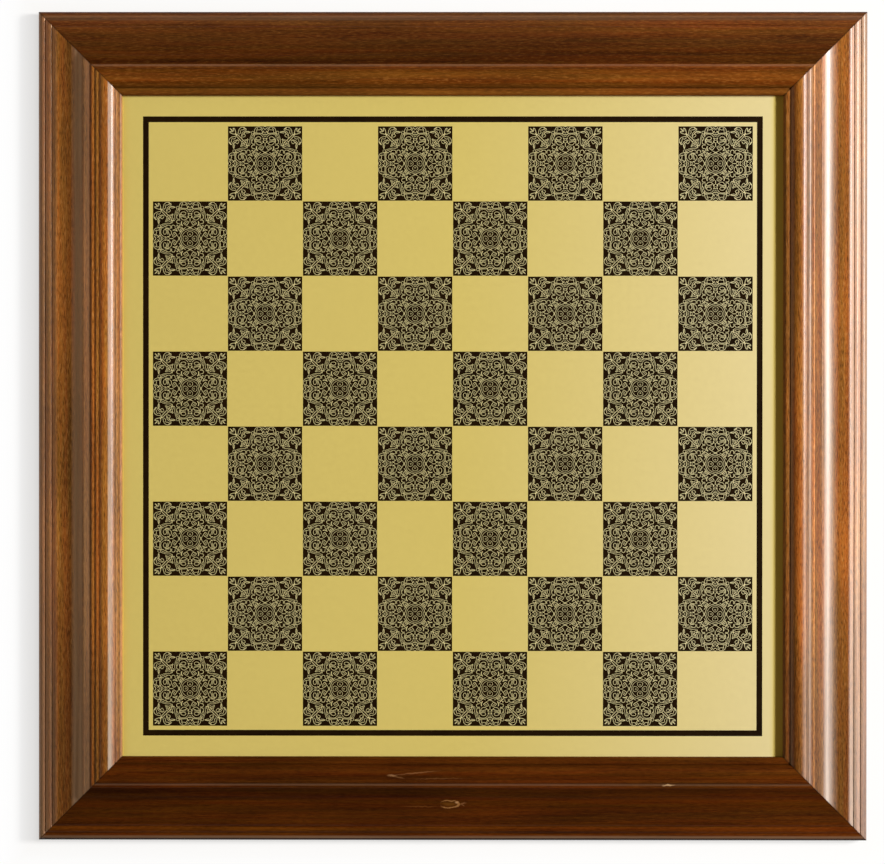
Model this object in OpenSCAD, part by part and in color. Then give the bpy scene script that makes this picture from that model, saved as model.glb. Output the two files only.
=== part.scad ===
// Framed chessboard: a brass playing plate with enamelled dark squares, in a mitred hardwood moulding.
// The board lies flat with the playing side up, and the player's near edge is the front, at -Y.

/* [Playing field] */
// Side of one square
square_size = 40; // [25:1:60]
// Bare metal between the field and the border line
line_gap = 2; // [1:0.1:6]
// Width of the black border line
line_w = 3.1; // [1:0.1:6]
// Bare metal between the border line and the frame
plate_margin = 10.9; // [4:0.1:30]
// Bare metal kept between the corners of two dark squares
tile_gap = 0.4; // [0.2:0.1:1]
// Black rim left between a dark square's edge and its filigree
lace_rim = 0.8; // [0.4:0.1:1.5]
// Width of the filigree's lines
lace_w = 0.7; // [0.4:0.05:1]

/* [Plate and backing] */
// Thickness of the brass plate
plate_t = 1; // [0.8:0.1:2]
// Depth of the etching that holds the enamel
etch_depth = 0.4; // [0.3:0.05:0.6]
// How far the enamel lies below the bare metal
enamel_low = 0.1; // [0.05:0.05:0.2]
// Thickness of the glue film under the plate
film_t = 0.2; // [0.1:0.05:0.5]
// Thickness of the core board that stiffens the plate
core_t = 6; // [6:0.5:15]
// Thickness of the back panel
back_t = 3; // [2:0.5:5]
// Gap between the core board and the frame, all round
board_gap = 1; // [0.3:0.1:2]
// Gap between the back panel and its recess, all round
panel_gap = 0.5; // [0.2:0.1:1]

/* [Moulding] */
// Width of the plate that the frame's lip covers
lip_cover = 5; // [3:0.5:8]
// Width of the flat lip, from the foot of the bead to the sight edge
lip_w = 3.85; // [2.5:0.05:6]
// Height of the lip over the plate
lip_h = 3.2; // [2.5:0.1:6]
// Radius of the rounding on the sight edge
lip_r = 1.5; // [0.8:0.1:1.8]
// Radius of the large inner bead
bead_r = 5.7; // [4:0.1:8]
// Width of each of the two small fillets beside the bead
fillet_w = 2.3; // [1.8:0.1:3]
// Radius of the rounding on the small fillets
fillet_r = 1; // [0.6:0.1:1.5]
// Width of the gentle slope between the hollow's brow and the fillets
slope_w = 3.6; // [1:0.1:6]
// Radius of the rounding over the hollow
brow_r = 3; // [1:0.1:6]
// Radius of the hollow
cove_r = 15; // [8:0.1:18]
// Width of the flat band between the hollow and the outer steps
band_w = 4.2; // [1:0.1:12]
// Width of each outer step
step_w = 3.8; // [3.6:0.05:6]
// Height of each outer step
step_h = 1.4; // [1.2:0.1:2]
// Radius of the rounding on the inner steps
step_r = 3.6; // [2.5:0.1:4.1]
// Radius of the rounding on the outermost step
edge_r = 3.4; // [1.5:0.1:3.4]

/* [Fixings] */
// Width of the ledge that the back panel is screwed to
ledge_w = 8; // [7:0.5:9]
// Diameter of a panel screw's shank
screw_d = 2.5; // [2:0.1:3]
// Diameter of a panel screw's countersunk head
head_d = 5; // [4:0.1:6]
// Length of a panel screw
screw_len = 10; // [8:0.5:12]
// Distance between the screws along one side
screw_pitch = 140; // [60:5:150]
// Clearance round each screw
screw_gap = 0.05; // [0.05:0.05:0.2]
// Height of a mitre nail
nail_h = 5; // [3:0.5:6]
// Reach of a mitre nail's wings to each side of the joint
nail_reach = 4; // [2:0.5:5]
// Thickness of a mitre nail
nail_t = 0.7; // [0.4:0.1:1]
// Distance of the outer mitre nail from the frame's edge
nail_inset = 8; // [7:0.5:10]
// Distance between the two mitre nails of a corner, along a rail
nail_pitch = 12; // [9:0.5:14]

/* [Feet] */
// Diameter of a felt foot
foot_d = 22; // [12:1:26]
// Thickness of a felt foot
foot_t = 2; // [1.5:0.1:5]
// Distance of a foot's centre from the frame's edge
foot_inset = 16; // [14:0.5:17]

/* [Hidden] */
$fn = 64;

ranks = 8;
field = ranks * square_size;
line_in = field + 2 * line_gap;
line_out = line_in + 2 * line_w;
sight = line_out + 2 * plate_margin;
plate = sight + 2 * lip_cover;
rebate = plate + 2 * board_gap;
recess = rebate + 2 * ledge_w;
tile = square_size - tile_gap;
lace = tile - 2 * lace_rim;

// Heights over the frame's back face, from the back panel up to the crest and down again to the outer edge
plate_top = back_t + core_t + film_t + plate_t;
lip_top = plate_top + lip_h;
bead_in = 52;
bead_out = 40;
bead_z = lip_top - bead_r * cos(bead_in);
crest = bead_z + bead_r;
bead_foot = bead_z + bead_r * cos(bead_out);
fillets = 2;
fillet_turn = 60;
fillet_h = fillet_r * (1 - cos(fillet_turn));
slope_top = bead_foot - fillets * fillet_h;
slope_turn = 14;
brow_z = slope_top - slope_w * tan(slope_turn) - brow_r * cos(slope_turn);
cove_turn = 38;
cove_top = brow_z + brow_r * cos(cove_turn);
band_z = cove_top - cove_r * (1 - cos(cove_turn));

// Distances from the frame's outer edge, inwards
steps = 3;
step_turn = 50;
step_in = 0.6;
band_s = (steps - 1) * step_w + step_in + step_r * sin(step_turn);
cove_s = band_s + band_w;
brow_s = cove_s + (cove_r + brow_r) * sin(cove_turn);
slope_s = brow_s - brow_r * sin(slope_turn);
fillet_s = slope_s + slope_w;
bead_s = fillet_s + fillets * fillet_w + bead_r * sin(bead_out);
lip_s = bead_s + bead_r * sin(bead_in);
rail_w = lip_s + lip_w;
outer = sight + 2 * rail_w;

groove_d = 0.3;
fine_quirk = 0.3;
back_arris = 0.3;

back_z = foot_t;
plate_z = back_z + plate_top;
enamel_z = plate_z - enamel_low;
head_h = (head_d - screw_d) / 2;
screw_s = (outer - recess) / 2 + ledge_w / 2;
tip_h = screw_d;
overcut = 1;

walnut = [0.42, 0.24, 0.12];
brass = [0.80, 0.72, 0.42];
enamel = [0.10, 0.06, 0.03];
steel = [0.62, 0.62, 0.64];

// Points of an arc, by angles from straight up towards the board's centre
function arc(s, z, r, from, to, steps) =
    [for (i = [0 : steps]) let (a = from + (to - from) * i / steps) [s + r * sin(a), z + r * cos(a)]];

function step_top(i) = band_z - (steps - 1 - i) * step_h;

// A sloping outer step, with the narrow groove at its foot
function step_points(i) = concat(
    [[i * step_w - groove_d, step_top(i - 1)], [i * step_w, step_top(i - 1) - groove_d]],
    arc(i * step_w + step_in + step_r * sin(step_turn), step_top(i) - step_r, step_r, -step_turn, 0, 8));

// Cross-section of the moulding: distance from the outer edge, and height over the back face
function moulding() = concat(
    [[back_arris, 0], [0, back_arris]],
    arc(edge_r, step_top(0) - edge_r, edge_r, -90, 0, 8),
    [for (i = [1 : steps - 1]) each step_points(i)],
    [for (turn = [0 : 13]) let (a = cove_turn * turn / 14)
        [cove_s + cove_r * sin(a), band_z + cove_r * (1 - cos(a))]],
    arc(brow_s, brow_z, brow_r, -cove_turn, -slope_turn, 5),
    [for (i = [0 : fillets - 1])
        each arc(fillet_s + i * fillet_w + fillet_r * sin(fillet_turn), slope_top + (i + 1) * fillet_h - fillet_r,
                 fillet_r, -fillet_turn, 0, 6)],
    arc(bead_s, bead_z, bead_r, -bead_out, bead_in, 16),
    [[lip_s, lip_top - fine_quirk], [lip_s + fine_quirk, lip_top - fine_quirk], [lip_s + fine_quirk, lip_top]],
    arc(rail_w - lip_r, lip_top - lip_r, lip_r, 0, 90, 8),
    [[rail_w, plate_top],
     [(outer - rebate) / 2, plate_top], [(outer - rebate) / 2, back_t],
     [(outer - recess) / 2, back_t], [(outer - recess) / 2, 0]]);

// One rail of the frame, with its 45 degree mitres, drawn along the front and turned to its side
module rail(turn) {
    color(walnut) rotate(turn) difference() {
        intersection() {
            translate([-outer / 2, -outer / 2, back_z])
                rotate([90, 0, 90]) linear_extrude(outer) polygon(moulding());
            linear_extrude(back_z + crest + overcut)
                polygon([[-outer / 2, -outer / 2], [outer / 2, -outer / 2], [0, 0]]);
        }
        corner_nails(0);
        corner_nails(90);
        screw_row() pilot_hole();
    }
}

module rail_front() { rail(0); }
module rail_right() { rail(90); }
module rail_back() { rail(180); }
module rail_left() { rail(270); }

// Places its child at every dark square; the near left corner square is dark
module each_dark_square() {
    for (column = [0 : ranks - 1], row = [0 : ranks - 1])
        if ((column + row) % 2 == 0)
            translate([(column - (ranks - 1) / 2) * square_size, (row - (ranks - 1) / 2) * square_size, 0])
                children();
}

module slab(side, height) {
    translate([-side / 2, -side / 2, 0]) cube([side, side, height]);
}

module square_ring(inside, outside, height) {
    difference() {
        slab(outside, height);
        translate([0, 0, -overcut]) slab(inside, height + 2 * overcut);
    }
}

module playing_plate() {
    color(brass) difference() {
        translate([0, 0, plate_z - plate_t]) slab(plate, plate_t);
        translate([0, 0, plate_z - etch_depth]) {
            each_dark_square() slab(tile, etch_depth + overcut);
            square_ring(line_in, line_out, etch_depth + overcut);
        }
    }
}

module dark_squares() {
    color(enamel) translate([0, 0, plate_z - etch_depth])
        each_dark_square() slab(tile, etch_depth - enamel_low);
}

module border_line() {
    color(enamel) translate([0, 0, plate_z - etch_depth])
        square_ring(line_in, line_out, etch_depth - enamel_low);
}

module loop(distance, radius) {
    translate([0, distance * lace]) difference() {
        circle(radius * lace);
        circle(radius * lace - lace_w);
    }
}

// The main loops of the scrollwork: one in the middle, and three rings of four round it
module filigree() {
    color(brass) translate([0, 0, enamel_z]) each_dark_square()
        linear_extrude(enamel_low) {
            loop(0, 0.15);
            for (turn = [0 : 90 : 270]) rotate(turn) {
                loop(0.33, 0.12);
                rotate(45) loop(0.31, 0.1);
                rotate(45) loop(0.53, 0.1);
            }
        }
}

module adhesive_film() {
    color([0.85, 0.82, 0.70]) translate([0, 0, plate_z - plate_t - film_t]) slab(plate, film_t);
}

module core_board() {
    color([0.72, 0.58, 0.40]) translate([0, 0, back_z + back_t]) slab(plate, core_t);
}

// Places its child at the three screws of the front side, on the ledge's middle line
module screw_row() {
    for (step = [-1 : 1])
        translate([step * screw_pitch, screw_s - outer / 2, back_z]) children();
}

module each_screw() {
    for (turn = [0 : 90 : 270]) rotate(turn) screw_row() children();
}

// A countersunk screw's body from its head at the bottom up to its tip, larger by the gap all round
module screw_body(gap) {
    cylinder(d1 = head_d + 2 * gap, d2 = screw_d + 2 * gap, h = head_h);
    cylinder(d = screw_d + 2 * gap, h = screw_len - tip_h);
    translate([0, 0, screw_len - tip_h])
        cylinder(d1 = screw_d + 2 * gap, d2 = screw_d / 4 + 2 * gap, h = tip_h + gap);
}

module pilot_hole() {
    cylinder(d = screw_d + 2 * screw_gap, h = screw_len + screw_gap);
}

module panel_screws() {
    slot_w = screw_d / 4;
    color(steel) each_screw() difference() {
        screw_body(0);
        for (turn = [0, 90]) rotate(turn)
            translate([-screw_d / 2, -slot_w / 2, -overcut]) cube([screw_d, slot_w, overcut + head_h / 2]);
    }
}

module back_panel() {
    color([0.45, 0.31, 0.20]) difference() {
        translate([0, 0, back_z]) slab(recess - 2 * panel_gap, back_t);
        each_screw() {
            screw_body(screw_gap);
            translate([0, 0, -overcut]) cylinder(d = head_d + 2 * screw_gap, h = overcut);
        }
    }
}

// A V-shaped nail across a mitre, its point towards the corner
module mitre_nail() {
    linear_extrude(nail_h)
        polygon([[0, 0], [nail_reach, nail_reach], [nail_reach + nail_t, nail_reach],
                 [nail_t, 0], [nail_reach + nail_t, -nail_reach], [nail_reach, -nail_reach]]);
}

// The two nails of the front left corner, turned to another corner
module corner_nails(turn) {
    rotate(turn) for (step = [0, 1]) {
        inset = nail_inset + step * nail_pitch;
        translate([inset - outer / 2, inset - outer / 2, back_z]) rotate(45) mitre_nail();
    }
}

module mitre_nails() {
    color(steel) for (turn = [0 : 90 : 270]) corner_nails(turn);
}

// A felt disc under a corner of the frame, the front left one turned to its corner
module foot(turn) {
    color([0.16, 0.25, 0.17]) rotate(turn)
        translate([foot_inset - outer / 2, foot_inset - outer / 2, 0]) cylinder(d = foot_d, h = foot_t);
}

module foot_front_left() { foot(0); }
module foot_front_right() { foot(90); }
module foot_back_right() { foot(180); }
module foot_back_left() { foot(270); }

rail_front();
rail_right();
rail_back();
rail_left();
playing_plate();
dark_squares();
filigree();
border_line();
adhesive_film();
core_board();
back_panel();
panel_screws();
mitre_nails();
foot_front_left();
foot_front_right();
foot_back_right();
foot_back_left();
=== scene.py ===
import bpy
import bmesh
from math import radians, sin, cos, tan, pi
from mathutils import Matrix, Vector


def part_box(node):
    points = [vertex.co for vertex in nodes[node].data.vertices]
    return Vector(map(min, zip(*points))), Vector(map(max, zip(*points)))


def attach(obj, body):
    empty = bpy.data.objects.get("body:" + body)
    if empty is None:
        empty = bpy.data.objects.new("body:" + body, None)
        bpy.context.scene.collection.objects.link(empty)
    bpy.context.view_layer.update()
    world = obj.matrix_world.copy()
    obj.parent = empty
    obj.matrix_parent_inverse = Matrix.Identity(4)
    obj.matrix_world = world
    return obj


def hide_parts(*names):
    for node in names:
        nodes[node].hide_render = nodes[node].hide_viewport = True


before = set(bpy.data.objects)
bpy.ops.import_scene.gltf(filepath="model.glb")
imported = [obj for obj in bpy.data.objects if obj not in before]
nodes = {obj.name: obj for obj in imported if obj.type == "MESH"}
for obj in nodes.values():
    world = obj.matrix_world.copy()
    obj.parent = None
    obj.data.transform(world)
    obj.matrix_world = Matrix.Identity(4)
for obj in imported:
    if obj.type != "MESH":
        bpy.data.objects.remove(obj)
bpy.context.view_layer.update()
mm = 0.001
print("frame loaded:", len(nodes), "nodes")

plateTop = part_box("playing_plate")[1][2]
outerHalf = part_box("rail_right")[1][0]
sightHalf = -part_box("rail_front")[1][1]
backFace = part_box("rail_front")[0][2]


# small helpers

def clearSelection():
    bpy.ops.object.select_all(action="DESELECT")


def pick(obj):
    clearSelection()
    obj.select_set(True)
    bpy.context.view_layer.objects.active = obj


def duplicate(obj, name):
    copied = obj.copy()
    copied.data = obj.data.copy()
    copied.name = name
    copied.data.name = name
    bpy.context.collection.objects.link(copied)
    return copied


def settle(obj):
    pick(obj)
    bpy.ops.object.transform_apply(location=True, rotation=True, scale=True)


def applyModifier(obj, kind, **values):
    pick(obj)
    mod = obj.modifiers.new(kind.lower(), kind)
    for key, value in values.items():
        setattr(mod, key, value)
    bpy.ops.object.modifier_apply(modifier=mod.name)


def dress(obj, material):
    obj.data.materials.clear()
    obj.data.materials.append(material)


# small helpers for node trees

def newMaterial(name):
    material = bpy.data.materials.new(name)
    material.use_nodes = True
    tree = material.node_tree
    tree.nodes.clear()
    out = tree.nodes.new("ShaderNodeOutputMaterial")
    out.location = (1400, 0)
    shader = tree.nodes.new("ShaderNodeBsdfPrincipled")
    shader.location = (1100, 0)
    tree.links.new(shader.outputs[0], out.inputs["Surface"])
    return material, tree, shader


def addNode(tree, kind, place, inputs=None, **settings):
    made = tree.nodes.new("ShaderNode" + kind)
    made.location = place
    for key, value in settings.items():
        setattr(made, key, value)
    for key, value in (inputs or {}).items():
        if isinstance(value, bpy.types.NodeSocket):
            tree.links.new(value, made.inputs[key])
        else:
            made.inputs[key].default_value = value
    return made


def addRamp(tree, place, value, stops):
    ramp = addNode(tree, "ValToRGB", place, {0: value})
    band = ramp.color_ramp
    while len(band.elements) < len(stops):
        band.elements.new(0.5)
    for element, (spot, colour) in zip(band.elements, stops):
        element.position = spot
        shade = colour if isinstance(colour, tuple) else (colour, colour, colour)
        element.color = (shade[0], shade[1], shade[2], 1)
    return ramp.outputs["Color"]


def addDoubled(tree, row, value, stops):
    # a ramp only holds 0 to 1, so a share that may reach 2 goes in halved and comes out doubled
    ramp = addRamp(tree, (-800, row), value, [(spot, share * 0.5) for spot, share in stops])
    return addMath(tree, (-600, row), "MULTIPLY", ramp, 2.0)


def addMix(tree, place, blend, amount, first, second):
    mix = addNode(tree, "Mix", place, data_type="RGBA", blend_type=blend)
    for index, value in ((0, amount), (6, first), (7, second)):
        if isinstance(value, bpy.types.NodeSocket):
            tree.links.new(value, mix.inputs[index])
        elif index == 0:
            mix.inputs[index].default_value = value
        else:
            mix.inputs[index].default_value = (value[0], value[1], value[2], 1)
    return mix.outputs[2]


def addMath(tree, place, operation, first, second=0.5):
    return addNode(tree, "Math", place, {0: first, 1: second}, operation=operation).outputs[0]


def addStretched(tree, place, coords, scale, shift=(0, 0, 0), detail=2.0, rough=0.5, twist=0.0):
    mapped = addNode(tree, "Mapping", place, {"Vector": coords, "Location": shift, "Scale": scale})
    noise = addNode(tree, "TexNoise", (place[0] + 180, place[1]),
                    {"Vector": mapped.outputs[0], "Scale": 1.0, "Detail": detail, "Roughness": rough,
                     "Distortion": twist})
    return noise.outputs["Fac"]


# the moulding of the frame

moulding = {
    # from the outer edge inwards, in mm and degrees
    "edgeR": 3.4, "steps": 3, "stepW": 3.8, "stepH": 1.4, "stepR": 3.6, "stepTurn": 50, "stepIn": 0.6,
    "grooveD": 0.3, "bandW": 4.2, "coveR": 15.0, "coveTurn": 38, "browR": 3.0,
    "slopeW": 3.6, "slopeTurn": 14, "fillets": 2, "filletW": 2.3, "filletR": 1.0, "filletTurn": 60,
    "beadR": 5.7, "beadOut": 40, "beadIn": 52, "lipH": 3.2, "lipR": 1.5, "fineQuirk": 0.3,
    "backT": 3.0, "backArris": 0.3, "rebateHalf": 182.0, "recessHalf": 190.0,
    "softening": 0.12, "softTurn": 24, "smoothTurn": 32,
    # straight lines that make up each curve
    "edgeCuts": 12, "stepCuts": 10, "coveCuts": 24, "browCuts": 8,
    "filletCuts": 8, "beadCuts": 16, "lipCuts": 10,
}


def startOutline(s, h):
    # one vertex on the near rail's left end, s in from the outer edge and h over the back
    clearSelection()
    place = (-outerHalf, s * mm - outerHalf, backFace + h * mm)
    bpy.ops.mesh.primitive_plane_add(size=0.01, location=place)
    obj = bpy.context.object
    bpy.ops.object.transform_apply(location=True)
    bpy.ops.object.mode_set(mode="EDIT")
    bpy.ops.mesh.select_mode(type="VERT")
    bpy.ops.mesh.select_all(action="SELECT")
    bpy.ops.mesh.merge(type="CENTER")
    return obj, [s, h]


def lineTo(pen, s, h):
    step = (0, (s - pen[0]) * mm, (h - pen[1]) * mm)
    if abs(step[1]) + abs(step[2]) < 1e-8:
        return
    bpy.ops.mesh.extrude_vertices_move(TRANSFORM_OT_translate={"value": step})
    pen[0], pen[1] = s, h


def arcTo(pen, s, h, radius, start, end, steps):
    # angles from straight up, towards the sight edge; s and h are the centre
    lineTo(pen, s + radius * sin(radians(start)), h + radius * cos(radians(start)))
    centre = (-outerHalf, s * mm - outerHalf, backFace + h * mm)
    bpy.ops.mesh.spin(steps=steps, angle=radians(end - start), center=centre, axis=(1, 0, 0))
    pen[0], pen[1] = s + radius * sin(radians(end)), h + radius * cos(radians(end))


def drawMoulding(m):
    plateH = (plateTop - backFace) / mm
    lipTop = plateH + m["lipH"]
    beadH = lipTop - m["beadR"] * cos(radians(m["beadIn"]))
    beadFoot = beadH + m["beadR"] * cos(radians(m["beadOut"]))
    filletTurn = radians(m["filletTurn"])
    filletH = m["filletR"] * (1 - cos(filletTurn))
    slopeTop = beadFoot - m["fillets"] * filletH
    rise, turn = radians(m["slopeTurn"]), radians(m["coveTurn"])
    browH = slopeTop - m["slopeW"] * tan(rise) - m["browR"] * cos(rise)
    bandH = browH + m["browR"] * cos(turn) - m["coveR"] * (1 - cos(turn))
    firstStep = m["stepIn"] + m["stepR"] * sin(radians(m["stepTurn"]))
    coveS = (m["steps"] - 1) * m["stepW"] + firstStep + m["bandW"]
    browS = coveS + (m["coveR"] + m["browR"]) * sin(turn)
    filletS = browS - m["browR"] * sin(rise) + m["slopeW"]
    beadS = filletS + m["fillets"] * m["filletW"] + m["beadR"] * sin(radians(m["beadOut"]))
    lipS = beadS + m["beadR"] * sin(radians(m["beadIn"]))
    railW = (outerHalf - sightHalf) / mm

    obj, pen = startOutline(m["backArris"], 0)
    lineTo(pen, 0, m["backArris"])
    top = bandH - (m["steps"] - 1) * m["stepH"]
    arcTo(pen, m["edgeR"], top - m["edgeR"], m["edgeR"], -90, 0, m["edgeCuts"])
    for index in range(1, m["steps"]):
        lineTo(pen, index * m["stepW"] - m["grooveD"], top)
        lineTo(pen, index * m["stepW"], top - m["grooveD"])
        top += m["stepH"]
        arcTo(pen, index * m["stepW"] + firstStep, top - m["stepR"], m["stepR"],
              -m["stepTurn"], 0, m["stepCuts"])
    lineTo(pen, coveS, bandH)
    hollow = (-outerHalf, coveS * mm - outerHalf, backFace + (bandH + m["coveR"]) * mm)
    bpy.ops.mesh.spin(steps=m["coveCuts"], angle=-turn, center=hollow, axis=(1, 0, 0))
    pen[0], pen[1] = coveS + m["coveR"] * sin(turn), bandH + m["coveR"] * (1 - cos(turn))
    arcTo(pen, browS, browH, m["browR"], -m["coveTurn"], -m["slopeTurn"], m["browCuts"])
    for index in range(m["fillets"]):
        arcTo(pen, filletS + index * m["filletW"] + m["filletR"] * sin(filletTurn),
              slopeTop + (index + 1) * filletH - m["filletR"], m["filletR"],
              -m["filletTurn"], 0, m["filletCuts"])
    arcTo(pen, beadS, beadH, m["beadR"], -m["beadOut"], m["beadIn"], m["beadCuts"])
    lineTo(pen, lipS, lipTop - m["fineQuirk"])
    lineTo(pen, lipS + m["fineQuirk"], lipTop - m["fineQuirk"])
    lineTo(pen, lipS + m["fineQuirk"], lipTop)
    arcTo(pen, railW - m["lipR"], lipTop - m["lipR"], m["lipR"], 0, 90, m["lipCuts"])
    lineTo(pen, railW, plateH)
    rebateS = outerHalf / mm - m["rebateHalf"]
    recessS = outerHalf / mm - m["recessHalf"]
    lineTo(pen, rebateS, plateH)
    lineTo(pen, rebateS, m["backT"])
    lineTo(pen, recessS, m["backT"])
    lineTo(pen, recessS, 0)
    return obj


def buildRail():
    rail = drawMoulding(moulding)
    bpy.ops.mesh.select_all(action="SELECT")
    bpy.ops.mesh.remove_doubles(threshold=1e-7)
    bpy.ops.mesh.edge_face_add()
    bpy.ops.mesh.select_all(action="SELECT")
    bpy.ops.mesh.extrude_region_move(TRANSFORM_OT_translate={"value": (2 * outerHalf, 0, 0)})
    for side in (-1, 1):  # the two mitres
        bpy.ops.mesh.select_all(action="SELECT")
        bpy.ops.mesh.bisect(plane_co=(side * outerHalf, -outerHalf, 0), plane_no=(side, 1, 0),
                            use_fill=True, clear_outer=True)
    bpy.ops.mesh.select_all(action="SELECT")
    bpy.ops.mesh.normals_make_consistent(inside=False)
    bpy.ops.object.mode_set(mode="OBJECT")
    applyModifier(rail, "BEVEL", width=moulding["softening"] * mm, segments=2, limit_method="ANGLE",
                  angle_limit=radians(moulding["softTurn"]))
    nails = duplicate(nodes["mitre_nails"], "nailCutter")
    nails.hide_viewport = False
    pick(nails)
    bpy.ops.object.mode_set(mode="EDIT")
    bpy.ops.mesh.select_all(action="SELECT")
    bpy.ops.mesh.remove_doubles(threshold=1e-6)
    bpy.ops.object.mode_set(mode="OBJECT")
    applyModifier(rail, "BOOLEAN", operation="DIFFERENCE", object=nails, solver="EXACT")
    bpy.data.objects.remove(nails)
    pick(rail)
    bpy.ops.object.shade_smooth_by_angle(angle=radians(moulding["smoothTurn"]))
    applyModifier(rail, "WEIGHTED_NORMAL", weight=90, keep_sharp=True)
    return rail


# wood of the frame: streaked brown hardwood under a satin lacquer, one board for each rail; each rail's
# dark, warm and pale colours also carry painted light and shade, lighter on the left and right rails, whose
# grain lies across the lamp's light, and darker on the near and far rails
# in each rail: the list along the rail holds places from its middle and paints the rail lighter or darker
# lengthways, a painted light and shade of the lamp's fall-off; the other lists hold places in from the outer
# edge, for painted light and shade on the members, for a painted sheen and highlights, and for the polish of
# the lacquer, all in mm, each with its share

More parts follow.
